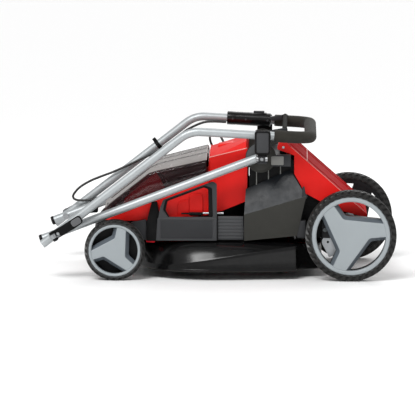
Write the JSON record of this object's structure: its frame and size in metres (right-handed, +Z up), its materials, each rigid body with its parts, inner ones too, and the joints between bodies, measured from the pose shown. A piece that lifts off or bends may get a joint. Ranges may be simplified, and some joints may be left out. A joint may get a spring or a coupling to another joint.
{
  "type": "push lawn mower",
  "caption": "Cordless push lawn mower stored with its handle folded forward over the red hood and smoked battery cover.",
  "frame": {"origin": "on the ground plane, at the middle of the bounding box in plan, with the handle folded", "axes": "+X to the rear of the mower, +Y to its right-hand side, +Z up"},
  "size_m": [0.8862, 0.5004, 0.3835],
  "materials": {
    "red_plastic": "semi-gloss moulded",
    "black_plastic": "gloss moulded",
    "black_rim": "satin moulded",
    "dark_plastic": "satin textured",
    "warm_grey_plastic": "fine matte texture",
    "smoked_cover": "smoked, glossy",
    "tyre_rubber": "moulded lugs",
    "hub_cap_grey": "satin painted",
    "tube_silver": "satin silver coating",
    "zinc_steel": "zinc plated",
    "blade_steel": "dark coated, ground edge",
    "grip_foam": "closed-cell foam",
    "cable_sheath": "smooth sheath",
    "battery_black": "fine texture"
  },
  "bodies": {
    "undercarriage": {"front_axle": "zinc_steel", "rear_axle": "zinc_steel"},
    "front_left_wheel": {"front_left_tyre": "tyre_rubber", "front_left_rim": "black_rim", "front_left_hub_cap": "hub_cap_grey"},
    "front_right_wheel": {"front_right_tyre": "tyre_rubber", "front_right_rim": "black_rim", "front_right_hub_cap": "hub_cap_grey"},
    "rear_left_wheel": {"rear_left_tyre": "tyre_rubber", "rear_left_rim": "black_rim", "rear_left_hub_cap": "hub_cap_grey"},
    "rear_right_wheel": {"rear_right_tyre": "tyre_rubber", "rear_right_rim": "black_rim", "rear_right_hub_cap": "hub_cap_grey"},
    "left_crank": {"crank_left": "zinc_steel"},
    "right_crank": {"crank_right": "zinc_steel"},
    "deck": {"deck_shell": "black_plastic", "front_fascia": "black_plastic", "side_panel_left": "black_plastic", "side_panel_right": "black_plastic", "height_scale": "dark_plastic", "fairing_left": "warm_grey_plastic", "fairing_right": "warm_grey_plastic", "axle_bracket_left": "black_plastic", "axle_bracket_right": "black_plastic", "hood": "red_plastic", "battery_left": "battery_black", "battery_right": "battery_black", "discharge_tunnel": "black_plastic", "flap_rod": "zinc_steel", "flap_spring": "zinc_steel", "motor_housing": "dark_plastic", "handle_bracket_left": "dark_plastic", "handle_bracket_right": "dark_plastic", "pivot_bolt_left": "zinc_steel", "pivot_bolt_right": "zinc_steel", "cable_deck": "cable_sheath"},
    "height_slider": {"height_lever": "dark_plastic", "height_link_rod": "zinc_steel"},
    "battery_cover": {"lid": "smoked_cover"},
    "cutter": {"motor_shaft": "zinc_steel", "blade_holder": "black_plastic", "blade": "blade_steel", "blade_bolt": "zinc_steel"},
    "flap": {"rear_flap": "red_plastic"},
    "pivot_clamp_left": {"pivot_lever_left": "dark_plastic"},
    "pivot_clamp_right": {"pivot_lever_right": "dark_plastic"},
    "lower_handle": {"lower_tube_left": "tube_silver", "lower_tube_right": "tube_silver", "cable_lower": "cable_sheath"},
    "upper_frame": {"upper_handle": "tube_silver", "grip": "grip_foam", "switch_box": "black_plastic", "cable_upper": "cable_sheath", "fold_bolt_left": "zinc_steel", "fold_bolt_right": "zinc_steel"},
    "fold_clamp_left": {"fold_lever_left": "dark_plastic"},
    "fold_clamp_right": {"fold_lever_right": "dark_plastic"},
    "bail": {"start_bail": "black_plastic"},
    "button": {"lock_button": "dark_plastic"}
  },
  "joints": [
    {"name": "deck_height", "type": "slide", "parent": "undercarriage", "child": "deck", "axis": [0, 0, 1], "range_m": [0, 0.04]},
    {"name": "left_crank_turn", "type": "hinge", "parent": "undercarriage", "child": "left_crank", "pos_m": [0.3305, -0.181, 0.1125], "axis": [0, 1, 0], "range_deg": [0, 39.2]},
    {"name": "right_crank_turn", "type": "hinge", "parent": "undercarriage", "child": "right_crank", "pos_m": [0.3305, 0.181, 0.1125], "axis": [0, 1, 0], "range_deg": [0, 39.2]},
    {"name": "front_left_wheel_spin", "type": "hinge", "parent": "undercarriage", "child": "front_left_wheel", "pos_m": [-0.2525, -0.212, 0.075], "axis": [0, 1, 0], "continuous": true},
    {"name": "front_right_wheel_spin", "type": "hinge", "parent": "undercarriage", "child": "front_right_wheel", "pos_m": [-0.2525, 0.212, 0.075], "axis": [0, 1, 0], "continuous": true},
    {"name": "rear_left_wheel_spin", "type": "hinge", "parent": "undercarriage", "child": "rear_left_wheel", "pos_m": [0.3305, -0.212, 0.1125], "axis": [0, 1, 0], "continuous": true},
    {"name": "rear_right_wheel_spin", "type": "hinge", "parent": "undercarriage", "child": "rear_right_wheel", "pos_m": [0.3305, 0.212, 0.1125], "axis": [0, 1, 0], "continuous": true},
    {"name": "height_lever_slide", "type": "slide", "parent": "deck", "child": "height_slider", "axis": [1, 0, 0], "range_m": [0, 0.04]},
    {"name": "battery_cover_hinge", "type": "hinge", "parent": "deck", "child": "battery_cover", "pos_m": [-0.027, 0, 0.3165], "axis": [0, 1, 0], "range_deg": [0, 70]},
    {"name": "blade_spin", "type": "hinge", "parent": "deck", "child": "cutter", "pos_m": [0.0225, 0, 0.0418], "axis": [0, 0, 1], "continuous": true},
    {"name": "rear_flap_hinge", "type": "hinge", "parent": "deck", "child": "flap", "pos_m": [0.163, 0, 0.325], "axis": [0, -1, 0], "range_deg": [0, 40], "stiffness_Nm_per_rad": 0.3, "springref_deg": -17.19},
    {"name": "pivot_clamp_left_open", "type": "hinge", "parent": "deck", "child": "pivot_clamp_left", "pos_m": [0.108, -0.243, 0.3055], "axis": [1, 0, 0], "range_deg": [0, 90]},
    {"name": "pivot_clamp_right_open", "type": "hinge", "parent": "deck", "child": "pivot_clamp_right", "pos_m": [0.108, 0.243, 0.3055], "axis": [-1, 0, 0], "range_deg": [0, 90]},
    {"name": "handle_pivot", "type": "hinge", "parent": "deck", "child": "lower_handle", "pos_m": [0.108, 0, 0.3055], "axis": [0, 1, 0], "range_deg": [0, 155.8]},
    {"name": "handle_fold", "type": "hinge", "parent": "lower_handle", "child": "upper_frame", "pos_m": [-0.40148, 0, 0.11197], "axis": [0, 1, 0], "range_deg": [-163.3, 0]},
    {"name": "fold_clamp_left_open", "type": "hinge", "parent": "upper_frame", "child": "fold_clamp_left", "pos_m": [-0.40148, -0.243, 0.11197], "axis": [0.5373, 0, -0.8434], "range_deg": [0, 90]},
    {"name": "fold_clamp_right_open", "type": "hinge", "parent": "upper_frame", "child": "fold_clamp_right", "pos_m": [-0.40148, 0.243, 0.11197], "axis": [-0.5373, 0, 0.8434], "range_deg": [0, 90]},
    {"name": "bail_squeeze", "type": "hinge", "parent": "upper_frame", "child": "bail", "pos_m": [0.133, 0, 0.3655], "axis": [0, 1, 0], "range_deg": [0, 35], "stiffness_Nm_per_rad": 0.5, "springref_deg": -14.32},
    {"name": "lock_button_press", "type": "slide", "parent": "upper_frame", "child": "button", "axis": [0, 0, -1], "range_m": [0, 0.003], "stiffness_N_per_m": 400, "springref_m": -0.001}
  ],
  "couplings": [
    {"joint": "height_lever_slide", "follows": "deck_height", "ratio": 1},
    {"joint": "left_crank_turn", "follows": "deck_height", "rad_per_m": 17.02},
    {"joint": "right_crank_turn", "follows": "deck_height", "rad_per_m": 17.02},
    {"joint": "handle_fold", "follows": "handle_pivot", "ratio": -1.0475}
  ]
}
